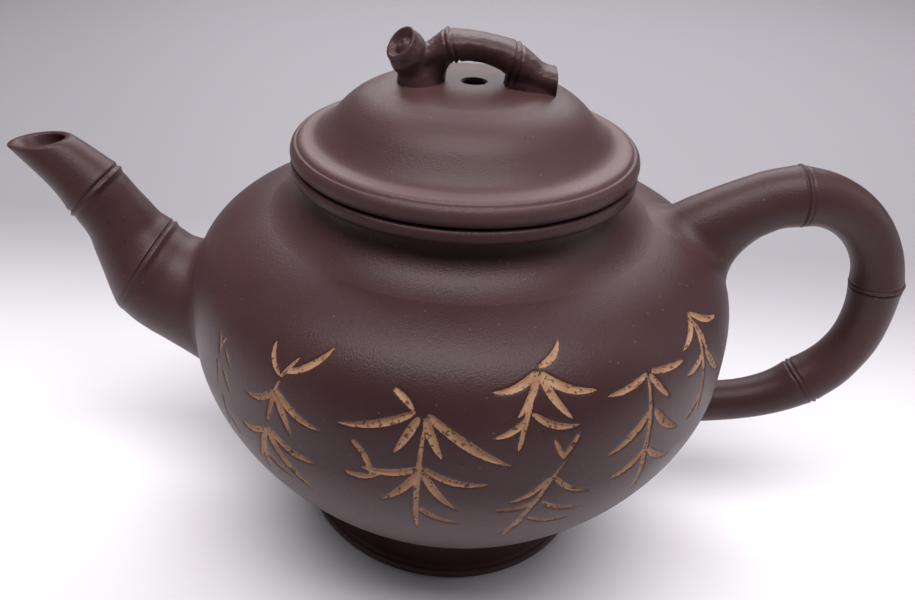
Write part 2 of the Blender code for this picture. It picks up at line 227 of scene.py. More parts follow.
def fired_clay(name, rough=0.35, carved=False, rings=0.0, highlight_radii=None, paler_by=0.0):
    """Unglazed fine clay: cloudy colour, sandy grain, a few pale and dark specks, leathery skin.
    rings adds turning lines, the band argument gives two radii between which the clay is painted paler as a
    painted highlight, and the last argument pales it all over."""
    material, shader, place = new_material(name)
    cloud = place.add("ShaderNodeTexNoise", values={"Vector": place, "Scale": 38.0, "Detail": 4.0})
    grain = place.add("ShaderNodeTexNoise", values={"Vector": place, "Scale": 4400.0, "Detail": 3.0})
    skin = place.add("ShaderNodeTexNoise", values={"Vector": place, "Scale": 2900.0, "Detail": 2.5,
                                                   "Roughness": 0.55, "Distortion": 0.4})
    grit = place.add("ShaderNodeTexVoronoi", values={"Vector": place, "Scale": 700.0})
    grit_pick = place.add("ShaderNodeTexVoronoi", values={"Vector": place, "Scale": 700.0}, out=1)
    pick = place.add("ShaderNodeSeparateColor", values={0: grit_pick})
    fleck = (1 - grit.rise(0.07, 0.16)) * pick.rise(0.86, 0.87)
    iron = (1 - grit.rise(0.09, 0.18)) * (1 - pick.rise(0.10, 0.11))
    base = place.add("ShaderNodeRGB")
    base.socket.default_value = CLAY
    colour = base.tint(CLAY_PALE, cloud.rise(0.42, 0.72) * 0.45 + grain.rise(0.5, 0.8) * 0.25 + paler_by)
    colour = colour.tint(CLAY_DEEP, (1 - cloud.rise(0.25, 0.5)) * 0.5)
    colour = colour.tint(PALE_FLECK, fleck * 0.55)
    colour = colour.tint(IRON_SPOT, iron * 0.7)
    dull = rough + cloud * 0.06 + (grain - 0.5) * 0.12
    height = grain * 0.35 + skin * 0.9 + fleck * 0.25
    if rings:
        parts = place.add("ShaderNodeSeparateXYZ", values={0: place}, out=2)
        stroke = place.add("ShaderNodeCombineXYZ", values={2: parts})
        lines = place.add("ShaderNodeTexNoise", values={"Vector": stroke, "Scale": 650.0, "Detail": 2.0})
        height = height + lines * rings
    if highlight_radii:
        start, stop = highlight_radii
        centred = place.add("ShaderNodeVectorMath", {"operation": "SUBTRACT"},
                            {0: place, 1: (AXIS_X * MM, 0.0, 0.0)})
        flat = place.add("ShaderNodeVectorMath", {"operation": "MULTIPLY"}, {0: centred, 1: (1.0, 1.0, 0.0)})
        reach = place.add("ShaderNodeVectorMath", {"operation": "LENGTH"}, {0: flat}, out=1)
        # The flare band is painted paler here: a painted highlight.
        highlight_share = (reach.rise((start - 0.8) * MM, (start + 0.8) * MM)
                    * (1 - reach.rise(stop * MM, (stop + 0.5) * MM)))
        colour = colour.tint(CLAY_HIGHLIGHT, highlight_share * (0.38 + cloud * 0.3))
        dull = dull - highlight_share * 0.04
    if carved:
        cut = place.add("ShaderNodeAttribute", {"attribute_name": "carved"}, out=2)
        ragged = cut + (grain - 0.5) * 0.22 + (skin - 0.5) * 0.10
        filled = ragged.rise(-0.06, 0.07)
        # A darker rim round each stroke: painted shade on the groove's wall.
        edge = ragged.rise(-0.24, -0.06) * (1 - ragged.rise(-0.04, 0.10))
        bare = place.add("ShaderNodeTexNoise", values={"Vector": place, "Scale": 1500.0, "Detail": 2.0})
        worn = filled * (1 - bare.rise(0.56, 0.66) * 0.8)
        streak = place.add("ShaderNodeTexNoise", values={"Vector": place, "Scale": 260.0, "Detail": 3.0})
        slip = base.tint(TAN_SLIP, 1.0).tint(BROWN_SLIP, streak.rise(0.40, 0.68) * 0.7)
        colour = colour.tint(CLAY_DEEP, edge * 0.8).tint(slip, worn * 0.95)
        dull = dull + filled * 0.3
        height = height - filled * 1.2 + bare * filled * 0.7
    feed(shader, "Base Color", colour)
    feed(shader, "Roughness", dull)
    feed(shader, "Normal", place.add("ShaderNodeBump", values={"Strength": 0.56, "Distance": SKIN_DEPTH * MM,
                                                               "Height": height}))
    shader.inputs["Specular IOR Level"].default_value = 0.25
    return material


def mesh_piece(name, rows, material, body, *nodes, join_rows=False, edit=None):
    """Skin a grid of points (millimetres round the pot's axis), close it, and hand it to the frame."""
    grid = np.asarray(rows, float)
    count, sides = grid.shape[:2]
    index = np.arange(count * sides).reshape(count, sides)
    if join_rows:
        index = np.vstack([index, index[:1]])
    a, b = index[:-1], index[1:]
    quads = np.stack([a, np.roll(a, -1, 1), np.roll(b, -1, 1), b], -1).reshape(-1, 4)
    points = grid.reshape(-1, 3) * MM + [AXIS_X * MM, 0.0, 0.0]
    mesh = bpy.data.meshes.new(name)
    mesh.from_pydata(points.tolist(), [], quads.tolist())
    shape = bmesh.new()
    shape.from_mesh(mesh)
    bmesh.ops.remove_doubles(shape, verts=shape.verts, dist=1e-7)
    rims = [e for e in shape.edges if e.is_boundary]
    if rims:
        bmesh.ops.holes_fill(shape, edges=rims, sides=0)
    bmesh.ops.recalc_face_normals(shape, faces=shape.faces)
    if shape.calc_volume(signed=True) < 0:
        bmesh.ops.reverse_faces(shape, faces=shape.faces)
    shape.to_mesh(mesh)
    shape.free()
    mesh.shade_smooth()
    mesh.materials.append(material)
    obj = new_object(name, mesh)
    if edit:
        edit(obj)
    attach(obj, body)
    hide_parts(*nodes)
    return obj


def turned(outline, angles=None):
    """Rows of a turned skin: each (radius, z) of the outline swung round the axis."""
    if angles is None:
        angles = np.linspace(0.0, 2 * math.pi, 192, endpoint=False)
    outline = np.asarray(outline, float)
    ring = np.stack([np.sin(angles), -np.cos(angles)], -1)
    rows = np.empty((len(outline), len(angles), 3))
    rows[..., :2] = outline[:, None, :1] * ring[None]
    rows[..., 2] = outline[:, None, 1]
    return rows


def arc(r, z, size, start, end, steps=8):
    """Points of a quarter or half round on an outline, angles in degrees from level."""
    return [(r + size * math.cos(math.radians(t)), z + size * math.sin(math.radians(t)))
            for t in np.linspace(start, end, steps)]


def curve(p, q, r, s, steps=12):
    """A cubic curve between p and s, pulled towards q and r."""
    p, q, r, s = (np.asarray(v, float) for v in (p, q, r, s))
    return [tuple(p * (1 - t) ** 3 + 3 * q * t * (1 - t) ** 2 + 3 * r * t * t * (1 - t) + s * t ** 3)
            for t in np.linspace(0.0, 1.0, steps)]


def belly_radius(z, inside=0.0):
    z = np.asarray(z, float)
    low = np.clip((BELLY_Z - z) / (BELLY_DROP - inside), 0.0, 1.0) ** BELLY_LOW_POWER
    top = np.clip((z - BELLY_Z) / (BELLY_RISE - inside), 0.0, 1.0) ** BELLY_TOP_POWER
    return (BELLY_R - inside) * np.where(z < BELLY_Z, (1 - low) ** (1 / BELLY_LOW_POWER),
                                         (1 - top) ** (1 / BELLY_TOP_POWER))


def belly_top(r, inside=0.0):
    share = np.asarray(r, float) / (BELLY_R - inside)
    return BELLY_Z + (BELLY_RISE - inside) * (1 - share ** BELLY_TOP_POWER) ** (1 / BELLY_TOP_POWER)


def belly_outline(inside, spacing):
    """The belly's curve from the base up to the mouth, with evenly spaced points."""
    z = BASE_Z + (BELLY_Z + 20.0 - BASE_Z) * np.linspace(0, 1, 900)
    side = np.stack([belly_radius(z, inside), z], -1)
    r = np.linspace(side[-1, 0], MOUTH_R, 500)[1:]
    line = np.vstack([side, np.stack([r, belly_top(r, inside)], -1)])
    run = np.r_[0, np.cumsum(np.hypot(*np.diff(line, axis=0).T))]
    place = [0.0]
    while place[-1] < run[-1]:
        height = np.interp(place[-1], run, line[:, 1])
        radius = np.interp(place[-1], run, line[:, 0])
        fine = height > FINE_ABOVE_Z and radius > FINE_BEYOND_R
        place.append(place[-1] + (spacing if fine else max(spacing, PLAIN_GRID)))
    place = np.array(place) * run[-1] / place[-1]
    return np.stack([np.interp(place, run, line[:, k]) for k in (0, 1)], -1)


# Carved sprigs. Each has a turn round the belly in degrees from the front, a height, and its
# strokes: start x and y, heading in degrees, length, width, bend.
SPRIGS = [
    (-29.0, 54.5, [(-5.8, -16.0, 80, 13, 0.95, 0.0), (-3.4, -3.0, 76, 11, 0.9, 0.0),
                   (-0.8, 7.6, 66, 7, 0.85, 0.0), (-0.2, 9.0, 50, 12, 1.5, -0.08),
                   (-0.8, 7.6, 112, 8, 1.2, 0.12), (-1.4, 4.8, -26, 10, 1.6, -0.12),
                   (-1.8, 4.2, -152, 8, 1.4, 0.14), (-1.6, 3.6, -64, 8, 1.5, 0.03),
                   (-3.6, -3.8, -16, 11, 1.5, -0.12), (-3.8, -4.4, -50, 14, 1.6, -0.05),
                   (-4.2, -4.8, -160, 7, 1.3, 0.12), (-4.2, -5.2, -110, 9, 1.4, 0.06),
                   (-5.0, -10.0, -36, 7, 1.2, -0.08)]),
    (-3.0, 53.0, [(-0.6, -16.5, 88, 27, 1.0, 0.02), (-1.4, 10.8, -154, 14, 1.8, 0.08),
                  (0.2, 10.8, -37, 17, 2.0, -0.07), (-1.0, 9.8, -114, 9, 1.6, 0.04),
                  (0.0, 9.8, -70, 9, 1.6, -0.04), (-5.5, 15.0, -50, 6, 1.5, 0.06),
                  (-0.4, -0.4, -168, 10, 1.5, 0.1), (0.0, -0.2, -14, 11, 1.4, -0.12),
                  (-0.4, -1.0, -128, 10, 1.5, 0.06), (0.0, -1.0, -54, 10, 1.5, -0.06),
                  (-11.5, 2.5, -64, 8, 1.2, 0.12), (-12.5, -4.5, 12, 6, 1.1, -0.1),
                  (-0.5, -9.0, -30, 8, 1.2, -0.1)]),
    (15.5, 64.2, [(-3.0, -8.0, 74, 12, 0.9, 0.03), (0.2, 4.2, -158, 8, 1.4, 0.12),
                  (0.4, 4.2, -118, 8, 1.3, 0.06), (0.6, 4.6, 34, 6, 1.2, -0.1),
                  (0.8, 4.0, -24, 10, 1.6, -0.12), (0.6, 3.6, -58, 9, 1.4, -0.06),
                  (-1.2, -2.0, -20, 8, 1.2, -0.12), (-1.6, -2.6, -150, 6, 1.1, 0.1)]),
    (17.0, 45.5, [(-4.5, -12.0, 68, 23, 0.9, 0.05), (1.0, 5.2, -142, 8, 1.0, 0.1),
                  (1.6, 5.4, -36, 8.5, 1.0, -0.1), (-0.4, 0.4, -164, 7, 1.0, 0.1),
                  (0.2, 0.2, -24, 9, 1.0, -0.12), (-1.6, -4.0, -16, 9, 1.0, -0.12),
                  (-2.2, -4.4, -124, 7, 0.95, 0.1), (2.8, 8.8, 60, 5.5, 0.9, 0.0),
                  (3.0, 8.4, 116, 5, 0.9, 0.0)]),
    (37.0, 55.5, [(0.4, -15.5, 91, 28, 1.0, 0.01), (-0.2, 10.8, -168, 9, 1.6, 0.08),
                  (0.8, 11.0, -10, 9, 1.7, -0.06), (0.4, 10.4, -60, 8, 1.4, -0.04),
                  (-0.4, 3.0, -142, 10, 1.6, 0.08), (0.8, 2.8, -44, 10, 1.6, -0.08),
                  (0.0, -4.4, -150, 8, 1.3, 0.1), (0.6, -5.0, -34, 8, 1.3, -0.1)]),
    (54.0, 61.5, [(-1.6, -11.0, 84, 20, 0.9, 0.03), (0.2, 8.0, -146, 8, 1.5, 0.10),
                  (0.6, 8.2, -30, 9, 1.6, -0.10), (-0.2, 7.4, -84, 8, 1.3, 0.04),
                  (-0.4, 1.4, -160, 7, 1.4, 0.12), (0.0, 0.8, -48, 9, 1.5, -0.06),
                  (-1.0, -5.0, -132, 7, 1.2, 0.08)]),
    (62.0, 46.5, [(-0.8, -5.0, 80, 9, 0.8, 0.0), (0.6, 3.2, -34, 7, 1.2, -0.10),
                  (0.2, 1.6, -152, 6, 1.1, 0.12), (-0.2, -0.8, -58, 5, 1.0, -0.05)]),
    (-47.0, 54.0, [(-1.4, 9.0, -82, 6, 0.6, 0.1), (1.2, 8.6, -112, 5, 0.55, 0.0),
                   (1.6, 6.0, -58, 4, 0.55, 0.0), (-1.2, 2.4, -96, 6, 0.55, 0.1),
                   (1.0, 1.4, -62, 5, 0.55, 0.0), (-0.2, -4.6, -84, 7, 0.55, 0.1),
                   (1.8, -8.0, -50, 5, 0.55, 0.0)]),
]


BRUSH_PEAK = 0.46           # brings the fullest part of a leaf-shaped stroke to its stated width
SPRIG_REACH = (24.0, 26.0)  # no stroke lies further than this from its sprig's place, across and up


def carved_depth(turn, z):
    """How far inside the nearest stroke each surface point lies, millimetres; minus outside."""
    inside = np.full(len(turn), -1.0)
    for place, height, strokes in SPRIGS:
        x = np.radians(turn - place) * float(belly_radius(height))
        # The shoulder leans in, so a step up in height is a longer step along the surface there.
        y = (z - height) * (1.0 + 0.5 * np.clip((z - 58.0) / 12.0, 0, 1))
        near = np.nonzero((abs(x) < SPRIG_REACH[0]) & (abs(y) < SPRIG_REACH[1]))[0]
        for sx, sy, heading, length, width, bend in strokes:
            t = np.linspace(0.0, 1.0, 15)
            dx, dy = math.cos(math.radians(heading)), math.sin(math.radians(heading))
            bow = bend * length * 4 * t * (1 - t)
            px = sx + dx * length * t - dy * bow
            py = sy + dy * length * t + dx * bow
            half = 0.5 * width * (t ** 0.5) * (1 - t) ** 0.8 / BRUSH_PEAK
            for k in range(14):
                ex, ey = px[k + 1] - px[k], py[k + 1] - py[k]
                wx, wy = x[near] - px[k], y[near] - py[k]
                share = np.clip((wx * ex + wy * ey) / (ex * ex + ey * ey), 0, 1)
                gap = np.hypot(wx - share * ex, wy - share * ey)
                deep = half[k] + (half[k + 1] - half[k]) * share - gap
                inside[near] = np.maximum(inside[near], deep)
    return inside


def of_vertices(mesh, key):
    """The places or the normals of a mesh's vertices, one row each."""
    values = np.empty(len(mesh.vertices) * 3)
    mesh.vertices.foreach_get(key, values)
    return values.reshape(-1, 3)


def carve(obj):
    """Press the strokes into the fine mesh and keep their depth for the slip's colour."""
    mesh = obj.data
    points = of_vertices(mesh, "co")
    x, y, z = points[:, 0] / MM - AXIS_X, points[:, 1] / MM, points[:, 2] / MM
    radius = np.hypot(x, y)
    outside = radius > belly_radius(z) - 0.3
    deep = np.full(len(points), -1.0)
    deep[outside] = carved_depth(np.degrees(np.arctan2(x, -y))[outside], z[outside])
    push = CARVE_DEPTH * np.clip(deep / CARVE_SLOPE + 0.1, 0.0, 1.0) ** 0.8
    points[:, 0] -= push * x / np.maximum(radius, 1e-6) * MM
    points[:, 1] -= push * y / np.maximum(radius, 1e-6) * MM
    mesh.vertices.foreach_set("co", points.ravel())
    layer = mesh.attributes.new("carved", "FLOAT", "POINT")
    layer.data.foreach_set("value", deep.astype(np.float32))
    mesh.update()


def settle(obj):
    """Turn an object's modifiers into plain mesh."""
    graph = bpy.context.evaluated_depsgraph_get()
    mesh = bpy.data.meshes.new_from_object(obj.evaluated_get(graph))
    obj.modifiers.clear()
    obj.data = mesh
    return mesh


def cut_out(obj, tool):
    """Take one solid out of another and leave a plain mesh."""
    cut = obj.modifiers.new("cut", "BOOLEAN")
    cut.operation, cut.solver, cut.object = "DIFFERENCE", "EXACT", tool
    settle(obj)
    bpy.data.objects.remove(tool, do_unlink=True)


def strainer_drills(hole_r, pitch, length, place, material):
    """Seven drills for the strainer, one in the middle of a ring of six, grown by a node tree."""
    tree = bpy.data.node_groups.new("strainer_drills", "GeometryNodeTree")
    inputs = {"Hole radius": hole_r * MM, "Pitch": pitch * MM, "Drill length": length * MM}
    for name in inputs:
        tree.interface.new_socket(name, in_out="INPUT", socket_type="NodeSocketFloat")
    tree.interface.new_socket("Place", in_out="INPUT", socket_type="NodeSocketVector")
    tree.interface.new_socket("Clay", in_out="INPUT", socket_type="NodeSocketMaterial")
    tree.interface.new_socket("Drills", in_out="OUTPUT", socket_type="NodeSocketGeometry")
    start = tree.nodes.new("NodeGroupInput")

    def grow(kind, settings=None, values=None):
        node = tree.nodes.new(kind)
        for key, value in (settings or {}).items():
            setattr(node, key, value)
        for key, value in (values or {}).items():
            if isinstance(value, bpy.types.NodeSocket):
                tree.links.new(value, node.inputs[key])
            else:
                node.inputs[key].default_value = value
        return node

    ring = grow("GeometryNodeMeshCircle", values={"Vertices": 6, "Radius": start.outputs["Pitch"]})
    middle = grow("GeometryNodeMeshLine", values={"Count": 1})
    spots = grow("GeometryNodeJoinGeometry", values={0: ring.outputs[0]})
    tree.links.new(middle.outputs[0], spots.inputs[0])
    drill = grow("GeometryNodeMeshCylinder", values={"Vertices": 24, "Radius": start.outputs["Hole radius"],
                                                     "Depth": start.outputs["Drill length"]})
    drills = grow("GeometryNodeInstanceOnPoints", values={"Points": spots.outputs[0],
                                                          "Instance": drill.outputs[0]})
    solid = grow("GeometryNodeRealizeInstances", values={0: drills.outputs[0]})
    aimed = grow("GeometryNodeTransform", values={0: solid.outputs[0], "Translation": start.outputs["Place"],
                                                  "Rotation": (math.pi / 2, 0.0, math.pi / 2)})
    finish = grow("GeometryNodeSetMaterial", values={0: aimed.outputs[0], "Material": start.outputs["Clay"]})
    end = grow("NodeGroupOutput")
    tree.links.new(finish.outputs[0], end.inputs[0])

    holder = new_object("strainer_drills", bpy.data.meshes.new("strainer_drills"))
    growth = holder.modifiers.new("strainer", "NODES")
    growth.node_group = tree
    inputs.update({"Place": Vector(place) * MM, "Clay": material})
    for item in tree.interface.items_tree:
        if item.in_out == "INPUT":
            growth[item.identifier] = inputs[item.name]
    settle(holder)
    return holder


def finish_belly(obj):
    """Pierce the strainer behind the spout, then carve the sprigs."""
    place = (AXIS_X - BELLY_R + WALL, 0.0, STRAINER_Z)
    cut_out(obj, strainer_drills(STRAINER_R, STRAINER_PITCH, 5 * WALL, place, obj.data.materials[0]))
    carve(obj)


fine_steps = int(math.radians(CARVED_TO - CARVED_FROM) * BELLY_R / GRID)
fine = np.radians(np.linspace(CARVED_FROM, CARVED_TO, fine_steps))
coarse = np.radians(np.linspace(CARVED_TO, CARVED_FROM + 360.0, 110)[1:-1])
around = np.concatenate([fine, coarse])
outline = np.vstack([belly_outline(0.0, GRID), belly_outline(WALL, 2.4)[::-1]])
belly_clay = fired_clay("burnished_clay_carved", carved=True, rings=0.25)
mesh_piece("belly_wall_clay", turned(outline, around), belly_clay, "pot", "belly_wall",
           join_rows=True, edit=finish_belly)

# ---- base disc ------------------------------------------------------------------------------
# A flat disc of the same clay, luted inside the bottom of the belly before the foot goes on.
# Its underside is scraped flat and left a little rougher than the burnished outside.
BASE_T = 3.0
plain_clay = fired_clay("fired_clay", paler_by=0.2)
raw_clay = fired_clay("scraped_clay", rough=0.55)
base_r = float(belly_radius(BASE_Z, WALL))
mesh_piece("base_disc_clay", turned([(0.0, BASE_Z + 0.1), (base_r * 0.55, BASE_Z + 0.05), (base_r, BASE_Z),
                                     (base_r + 3.6, BASE_Z + BASE_T), (0.0, BASE_Z + BASE_T)]),
           raw_clay, "pot", "base_disc")

# ---- foot ring ------------------------------------------------------------------------------
# A flared ring luted under the belly and turned on a wheel: a deep cove, then a small band
# that stands on the table, with its edges eased by a wet leather.
FOOT_R, FOOT_IN_R, FOOT_NECK_R, FOOT_BEAD = 32.0, 26.0, 27.2, 1.9
foot = (arc(FOOT_R - 0.5, 0.5, 0.5, -90, 0, 5) + arc(FOOT_R - 0.5, FOOT_BEAD - 0.5, 0.5, 0, 80, 5)
        + [(FOOT_R - 0.75, FOOT_BEAD + 0.05)]
        + curve((FOOT_R - 0.95, FOOT_BEAD + 0.35), (FOOT_R - 3.2, FOOT_BEAD + 1.2),
                (FOOT_NECK_R, 5.4), (FOOT_NECK_R - 0.2, BASE_Z + 0.6), 16)
        + [(FOOT_IN_R - 2.4, BASE_Z + 0.2)] + curve((FOOT_IN_R - 2.2, BASE_Z - 0.6), (FOOT_IN_R - 1.9, 4.0),
                                                   (FOOT_IN_R - 0.6, 2.0), (FOOT_IN_R, 0.5), 10)
        + arc(FOOT_IN_R + 0.5, 0.5, 0.5, 180, 270, 5))
mesh_piece("foot_ring_clay", turned(foot), plain_clay, "pot", "foot_ring", join_rows=True)

# ---- neck -----------------------------------------------------------------------------------
# A short collar between shoulder and mouth, coved with a curved tool so that the shoulder
# sweeps up into it without a seam.
NECK_R, NECK_FOOT_R, NECK_TOP_Z = 30.4, 38.5, 79.3
JOINT = 0.3                 # between pieces that rest on each other
slope = float(belly_top(NECK_FOOT_R - 2.0) - belly_top(NECK_FOOT_R)) / 2.0
start = (NECK_FOOT_R, float(belly_top(NECK_FOOT_R)) - 0.02)
ring_z = NECK_TOP_Z + JOINT
neck = (curve(start, (start[0] - 4.5, start[1] + 4.5 * slope), (NECK_R - 0.2, 75.2), (NECK_R, ring_z), 22)
        + [(MOUTH_R, ring_z), (MOUTH_R, float(belly_top(MOUTH_R)) - 0.6),
           (NECK_FOOT_R - 2.0, float(belly_top(NECK_FOOT_R - 2.0)) - 0.6)])
mesh_piece("neck_collar_clay", turned(neck), plain_clay, "pot", "neck_collar", join_rows=True)

# ---- mouth ring -----------------------------------------------------------------------------
# The rolled lip the lid rests on, one thickness of clay all round, cut to the same outline
# as the lid's edge so that the two read as one double line.
RING_R, RING_H = 33.0, 2.8
ring = ([(NECK_R - 0.6, ring_z - 0.25)] + arc(NECK_R + 0.25, ring_z + 0.05, 0.3, 200, 270, 4)
        + arc(RING_R - 1.25, ring_z + 1.25, 1.25, -80, 0, 9)
        + arc(RING_R - 0.75, ring_z + RING_H - 0.75, 0.75, 0, 90, 7)
        + arc(MOUTH_R + 0.5, ring_z + RING_H - 0.5, 0.5, 90, 180, 5) + [(MOUTH_R, ring_z - 0.25)])
mesh_piece("mouth_ring_clay", turned(ring), plain_clay, "pot", "mouth_ring", join_rows=True)

# ---- spout ----------------------------------------------------------------------------------
# A tapering tube modelled as three lengths of bamboo: two nodes with a scored crease and a
# raised lip, a slanting cut mouth, and a root smoothed out on to the belly with a wet tool.
SPOUT_LINE = [(-86.3, 80.4, 5.3), (-82.4, 76.5, 5.7), (-79.0, 73.1, 6.3), (-76.8, 70.5, 6.85, 7.0),
              (-73.8, 66.0, 6.95), (-71.6, 62.4, 7.5), (-69.8, 58.2, 8.7), (-67.9, 52.8, 10.8, 24.0),
              (-63.4, 48.9, 11.2), (-57.5, 46.2, 12.2), (-51.6, 44.0, 13.4), (-44.5, 41.4, 14.6),
              (-30.0, 37.0, 15.0)]
SPOUT_CUT_TILT = 5.0
SPOUT_WALL, SPOUT_LIP = 1.45, 0.55
SPOUT_FILLET, SPOUT_SPREAD = 3.6, 3.4     # how far the root is rounded, up the spout and over the belly
SPOUT_FADED_X = -72.0       # the node nearer the belly is scored on top only
NODE_STEPS = (0.06, 0.14, 0.22, 0.32, 0.44, 0.58, 0.75, 1.0, 1.35, 1.8, 2.4)   # rings beside a node


def through(points, steps):
    """A smooth line through control points: steps between each pair, ends kept."""
    p = np.asarray(points, float)
    p = np.vstack([2 * p[0] - p[1], p, 2 * p[-1] - p[-2]])
    out = []
    for k in range(1, len(p) - 2):
        a, b, c, d = p[k - 1:k + 3]
        for t in np.linspace(0, 1, steps, endpoint=False):
            out.append(0.5 * (2 * b + (c - a) * t + (2 * a - 5 * b + 4 * c - d) * t * t
                              + (3 * b - a - 3 * c + d) * t ** 3))
    return np.array(out + [p[-2]])


def swung(v, degrees):
    """A direction in the X, Z plane turned from X towards Z."""
    c, s = math.cos(math.radians(degrees)), math.sin(math.radians(degrees))
    return np.array([v[0] * c - v[1] * s, v[0] * s + v[1] * c])


def bamboo(line, sides, scored, cut_tilt=None, spacing=0.9, wide=1.0, faded=999.0):
    """Rings of a bamboo length along x, z, radius points in the Y = 0 plane. A fourth value makes
    the point a node, a mitre turned by that many degrees; scored(gap) is the lift beside it."""
    nodes = [k for k, point in enumerate(line) if len(point) > 3]
    cuts = [0] + nodes + [len(line) - 1]
    stretches = [through([point[:3] for point in line[a:b + 1]], 24) for a, b in zip(cuts, cuts[1:])]
    ends = [np.array([s[1][:2] - s[0][:2], s[-1][:2] - s[-2][:2]]) for s in stretches]
    ends = [e / np.linalg.norm(e, axis=1)[:, None] for e in ends]
    rings = []
    for k, stretch in enumerate(stretches):
        run = np.r_[0, np.cumsum(np.hypot(*np.diff(stretch[:, :2], axis=0).T))]
        first, last = ends[k][0].copy(), ends[k][1].copy()
        if k:
            first = ends[k][0] + ends[k - 1][1]
        if k < len(stretches) - 1:
            last = ends[k][1] + ends[k + 1][0]
        if k == 0 and cut_tilt is not None:
            first = -np.array([-math.sin(math.radians(cut_tilt)), math.cos(math.radians(cut_tilt))])
        first, last = first / np.linalg.norm(first), last / np.linalg.norm(last)
        first_turn = line[cuts[k]][3] if k else 0.0
        last_turn = line[cuts[k + 1]][3] if k < len(stretches) - 1 else 0.0
        marks = set(np.round(np.linspace(0, run[-1], max(4, int(run[-1] / spacing))), 3).tolist())
        if k:
            marks |= set(NODE_STEPS)
        if k < len(stretches) - 1:
            marks |= {run[-1] - m for m in NODE_STEPS}
            marks.discard(round(float(run[-1]), 3))
        for mark in sorted(m for m in marks if 0 <= m <= run[-1]):
            here = np.array([np.interp(mark, run, stretch[:, c]) for c in range(3)])
            ahead = np.array([np.interp(min(mark + 0.4, run[-1]), run, stretch[:, c]) for c in range(2)])
            back = np.array([np.interp(max(mark - 0.4, 0.0), run, stretch[:, c]) for c in range(2)])
            along = (ahead - back) / np.linalg.norm(ahead - back)
            # Near a node the rings turn from square across the tube to the node's own mitre.
            share = mark / run[-1]
            reach = min(0.5, 1.1 * here[2] / run[-1])
            mitre, turn = along, 0.0
            if share < reach:
                mitre = along + (first - along) * (1 - share / reach)
                turn = first_turn * (1 - share / reach)
            elif share > 1 - reach:
                mitre = along + (last - along) * (1 - (1 - share) / reach)
                turn = last_turn * (1 - (1 - share) / reach)
            mitre = mitre / np.linalg.norm(mitre)
            lift = 0.0
            if k:
                lift += scored(mark)
            if k < len(stretches) - 1:
                lift += scored(mark - run[-1])
            rings.append((here, along, swung(mitre, turn), lift, along @ mitre))
    angles = np.linspace(0, 2 * math.pi, sides, endpoint=False)
    rows = []
    for here, along, plane, lift, squeeze in rings:
        across = np.array([-plane[1], plane[0]])
        radius = here[2] + lift * (1.0 if here[0] < faded else 0.55 + 0.45 * np.sin(angles))
        side = radius * wide * np.cos(angles)
        up = radius / squeeze * np.sin(angles)
        rows.append(np.stack([here[0] + across[0] * up, side, here[1] + across[1] * up], -1))
    return np.array(rows), rings


def crease(gap):
    """A bamboo node: a swelling, one scored line and the thin lip beyond it."""
    swell = 0.36 * math.exp(-abs(gap) / 1.6)
    line = -0.46 * math.exp(-((gap - 0.1) / 0.36) ** 2)
    lip = 0.22 * math.exp(-((gap - 0.95) / 0.36) ** 2) - 0.16 * math.exp(-((gap - 1.9) / 0.6) ** 2)
    return swell + line + lip


def steepness(point):
    """Value and outward slope of the belly's surface rule at a point."""
    radius = math.hypot(point[0], point[1])
    rise = point[2] - BELLY_Z
    depth, power = (BELLY_DROP, BELLY_LOW_POWER) if rise < 0 else (BELLY_RISE, BELLY_TOP_POWER)
    value = (radius / BELLY_R) ** power + (abs(rise) / depth) ** power - 1.0
    outward = power * (radius / BELLY_R) ** (power - 1) / BELLY_R
    upward = power * (abs(rise) / depth) ** (power - 1) / depth * (-1 if rise < 0 else 1)
    return value, np.array([outward * point[0] / radius, outward * point[1] / radius, upward])


def on_belly(point, sink=0.0):
    """The nearest point of the belly's surface, pressed in by sink."""
    for _ in range(8):
        value, slope = steepness(point)
        point = point - value * slope / (slope @ slope)
    slope = steepness(point)[1]
    return point - sink * slope / np.linalg.norm(slope)


def luted_root(rows, back_off, spread, steps=12):
    """Run each side of a tube on to the belly and round it out there, as a wet tool does."""
    back_off, spread = (np.broadcast_to(v, rows.shape[1]) for v in (back_off, spread))
    heart = rows.mean(axis=1)
    crossing = next(k for k in range(len(rows)) if steepness(heart[k])[0] < 0)
    middle = on_belly(heart[crossing])
    outside = np.array([[steepness(p)[0] > 0 for p in row] for row in rows])
    ends = []
    for i in range(rows.shape[1]):
        k = int(np.argmax(~outside[:, i]))
        a, b = rows[k - 1, i], rows[k, i]
        va, vb = steepness(a)[0], steepness(b)[0]
        ends.append((k - 1 + va / (va - vb), a + (b - a) * va / (va - vb)))
    run = np.zeros(rows.shape[:2])
    run[1:] = np.cumsum(np.linalg.norm(np.diff(rows, axis=0), axis=2), axis=0)
    meets = [np.interp(k, np.arange(len(rows)), run[:, i]) for i, (k, _) in enumerate(ends)]
    keep = min(np.searchsorted(run[:, i], reach - back_off[i]) - 1 for i, reach in enumerate(meets))
    added = []
    for i, (_, point) in enumerate(ends):
        stop = meets[i] - back_off[i]
        marks = np.linspace(run[keep, i], stop, 7)[1:]
        side = np.stack([np.interp(marks, run[:, i], rows[:, i, c]) for c in range(3)], -1)
        slope = steepness(point)[1]
        slope = slope / np.linalg.norm(slope)
        away = point - middle
        away = away - slope * (away @ slope)
        rest = on_belly(point + away / np.linalg.norm(away) * spread[i])
        t = np.linspace(0, 1, steps + 1)[1:, None]
        blend = side[-1] * (1 - t) ** 2 + 2 * point * t * (1 - t) + rest * t * t
        blend[-1] = on_belly(rest, 0.06)
        added.append(np.vstack([side, blend]))
    return np.concatenate([rows[:keep + 1], np.array(added).transpose(1, 0, 2)])


